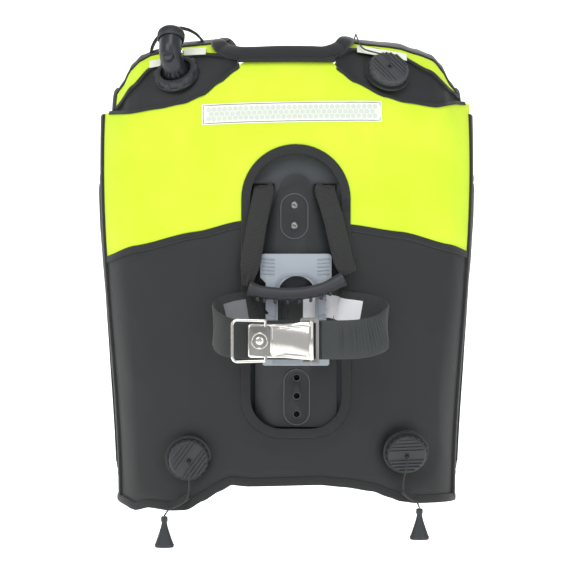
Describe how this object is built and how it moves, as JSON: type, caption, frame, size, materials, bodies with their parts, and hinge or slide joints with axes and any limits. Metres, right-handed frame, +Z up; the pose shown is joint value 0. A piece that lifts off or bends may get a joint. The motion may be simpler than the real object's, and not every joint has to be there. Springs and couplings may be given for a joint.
{
  "type": "buoyancy compensator vest",
  "caption": "Padded buoyancy vest with plastic backplate, tank band with cam buckle, carrying handle, inflator elbow and pull-cord dump valves.",
  "frame": {"origin": "middle of the backplate's outer face, where the tank rests", "axes": "+Z up, -Y out of the back of the vest towards the tank, +X towards the diver's right"},
  "size_m": [0.504, 0.3219, 0.6899],
  "materials": {
    "neon_cloth": "woven nylon",
    "black_cloth": "woven nylon",
    "bladder_film": "matte",
    "plate_plastic": "satin",
    "grey_rubber": "matte",
    "black_rubber": "matte",
    "black_webbing": "ribbed weave",
    "polished_steel": "polished",
    "satin_steel": "satin",
    "black_plastic": "satin",
    "pull_cord": "braided"
  },
  "bodies": {
    "root": {"air_bladder": "bladder_film", "back_pad": "black_cloth", "back_shell_lower": "black_cloth", "back_shell_upper": "neon_cloth", "backplate": "plate_plastic", "buckle_frame": "satin_steel", "cam_pin": "polished_steel", "collar_pad": "black_cloth", "cummerbund_left": "black_cloth", "cummerbund_right": "black_cloth", "d_ring_tabs": "black_webbing", "elbow_ring": "black_plastic", "front_lobe_left": "black_cloth", "front_lobe_right": "black_cloth", "grip_pad": "grey_rubber", "handle_anchors": "black_webbing", "hose_cuff": "black_plastic", "hose_keeper": "black_webbing", "inflator_elbow": "black_plastic", "left_dump_base": "black_plastic", "left_dump_cap": "black_plastic", "left_pull_cord": "pull_cord", "plate_screws": "polished_steel", "pocket_left": "black_cloth", "pocket_right": "black_cloth", "right_dump_base": "black_plastic", "right_dump_cap": "black_plastic", "right_pull_cord": "pull_cord", "shoulder_buckle_sockets": "black_plastic", "shoulder_dump_base": "black_plastic", "shoulder_dump_cap": "black_plastic", "shoulder_gussets": "black_cloth", "shoulder_pull_cord": "pull_cord", "shoulder_strap_left": "black_webbing", "shoulder_strap_right": "black_webbing", "shoulder_wing_left": "neon_cloth", "shoulder_wing_right": "neon_cloth", "tank_band": "black_webbing", "valve_springs": "satin_steel", "waist_buckle_socket": "black_plastic", "waist_strap_left": "black_webbing", "waist_strap_right": "black_webbing"},
    "cam_lever": {"cam_lever": "polished_steel"},
    "buckle_bail": {"buckle_bail": "polished_steel"},
    "carry_handle": {"carry_webbing": "black_webbing", "carry_grip": "black_rubber"},
    "shoulder_release_left": {"shoulder_buckle_left": "black_plastic"},
    "shoulder_release_right": {"shoulder_buckle_right": "black_plastic"},
    "waist_release": {"waist_buckle_male": "black_plastic"},
    "d_ring_left": {"d_ring_left": "polished_steel"},
    "d_ring_right": {"d_ring_right": "polished_steel"},
    "zip_left": {"zip_slider_left": "black_plastic"},
    "zip_right": {"zip_slider_right": "black_plastic"},
    "left_poppet": {"left_dump_poppet": "black_plastic"},
    "left_toggle": {"left_toggle": "black_plastic"},
    "right_poppet": {"right_dump_poppet": "black_plastic"},
    "right_toggle": {"right_toggle": "black_plastic"},
    "shoulder_poppet": {"shoulder_dump_poppet": "black_plastic"},
    "shoulder_toggle": {"shoulder_toggle": "black_plastic"}
  },
  "joints": [
    {"name": "cam_lever_hinge", "type": "hinge", "parent": "root", "child": "cam_lever", "pos_m": [0.024, -0.0898, -0.03885], "axis": [0, 0, 1], "range_deg": [0, 150]},
    {"name": "bail_hinge", "type": "hinge", "parent": "cam_lever", "child": "buckle_bail", "pos_m": [-0.034, -0.0954, -0.03885], "axis": [0, 0, 1], "range_deg": [0, 80]},
    {"name": "carry_handle_hinge", "type": "hinge", "parent": "root", "child": "carry_handle", "pos_m": [0.003, -0.0105, 0.1545], "axis": [-1, 0, 0], "range_deg": [0, 140]},
    {"name": "left_toggle_pull", "type": "slide", "parent": "root", "child": "left_toggle", "axis": [0, 0, -1], "range_m": [0, 0.006], "deforming": ["left_pull_cord"]},
    {"name": "left_poppet_lift", "type": "slide", "parent": "root", "child": "left_poppet", "axis": [0.1203, -0.9723, -0.2005], "range_m": [0, 0.006], "stiffness_N_per_m": 300, "springref_m": -0.002, "deforming": ["valve_springs"]},
    {"name": "right_toggle_pull", "type": "slide", "parent": "root", "child": "right_toggle", "axis": [0, 0, -1], "range_m": [0, 0.006], "deforming": ["right_pull_cord"]},
    {"name": "right_poppet_lift", "type": "slide", "parent": "root", "child": "right_poppet", "axis": [0.0601, -0.9309, -0.3603], "range_m": [0, 0.006], "stiffness_N_per_m": 300, "springref_m": -0.002, "deforming": ["valve_springs"]},
    {"name": "shoulder_toggle_pull", "type": "slide", "parent": "root", "child": "shoulder_toggle", "axis": [0, 0, -1], "range_m": [0, 0.006], "deforming": ["shoulder_pull_cord"]},
    {"name": "shoulder_poppet_lift", "type": "slide", "parent": "root", "child": "shoulder_poppet", "axis": [0.199, -0.8061, 0.5573], "range_m": [0, 0.006], "stiffness_N_per_m": 300, "springref_m": -0.002, "deforming": ["valve_springs"]},
    {"name": "shoulder_release_slide_left", "type": "slide", "parent": "root", "child": "shoulder_release_left", "axis": [0, 0, -1], "range_m": [0, 0.022], "deforming": ["shoulder_strap_left"]},
    {"name": "shoulder_release_slide_right", "type": "slide", "parent": "root", "child": "shoulder_release_right", "axis": [0, 0, -1], "range_m": [0, 0.022], "deforming": ["shoulder_strap_right"]},
    {"name": "waist_release_slide", "type": "slide", "parent": "root", "child": "waist_release", "axis": [1, 0, 0], "range_m": [0, 0.02], "deforming": ["waist_strap_right"]},
    {"name": "d_ring_swing_left", "type": "hinge", "parent": "root", "child": "d_ring_left", "pos_m": [-0.16949, 0.204, 0.096], "axis": [1, 0, 0], "range_deg": [0, 100]},
    {"name": "d_ring_swing_right", "type": "hinge", "parent": "root", "child": "d_ring_right", "pos_m": [0.15549, 0.204, 0.096], "axis": [1, 0, 0], "range_deg": [0, 100]},
    {"name": "zip_slide_left", "type": "slide", "parent": "root", "child": "zip_left", "axis": [0.0574, 0, -0.9984], "range_m": [0, 0.116]},
    {"name": "zip_slide_right", "type": "slide", "parent": "root", "child": "zip_right", "axis": [-0.0574, 0, -0.9984], "range_m": [0, 0.116]}
  ],
  "couplings": [
    {"joint": "left_poppet_lift", "follows": "left_toggle_pull", "ratio": 1},
    {"joint": "right_poppet_lift", "follows": "right_toggle_pull", "ratio": 1},
    {"joint": "shoulder_poppet_lift", "follows": "shoulder_toggle_pull", "ratio": 1}
  ]
}
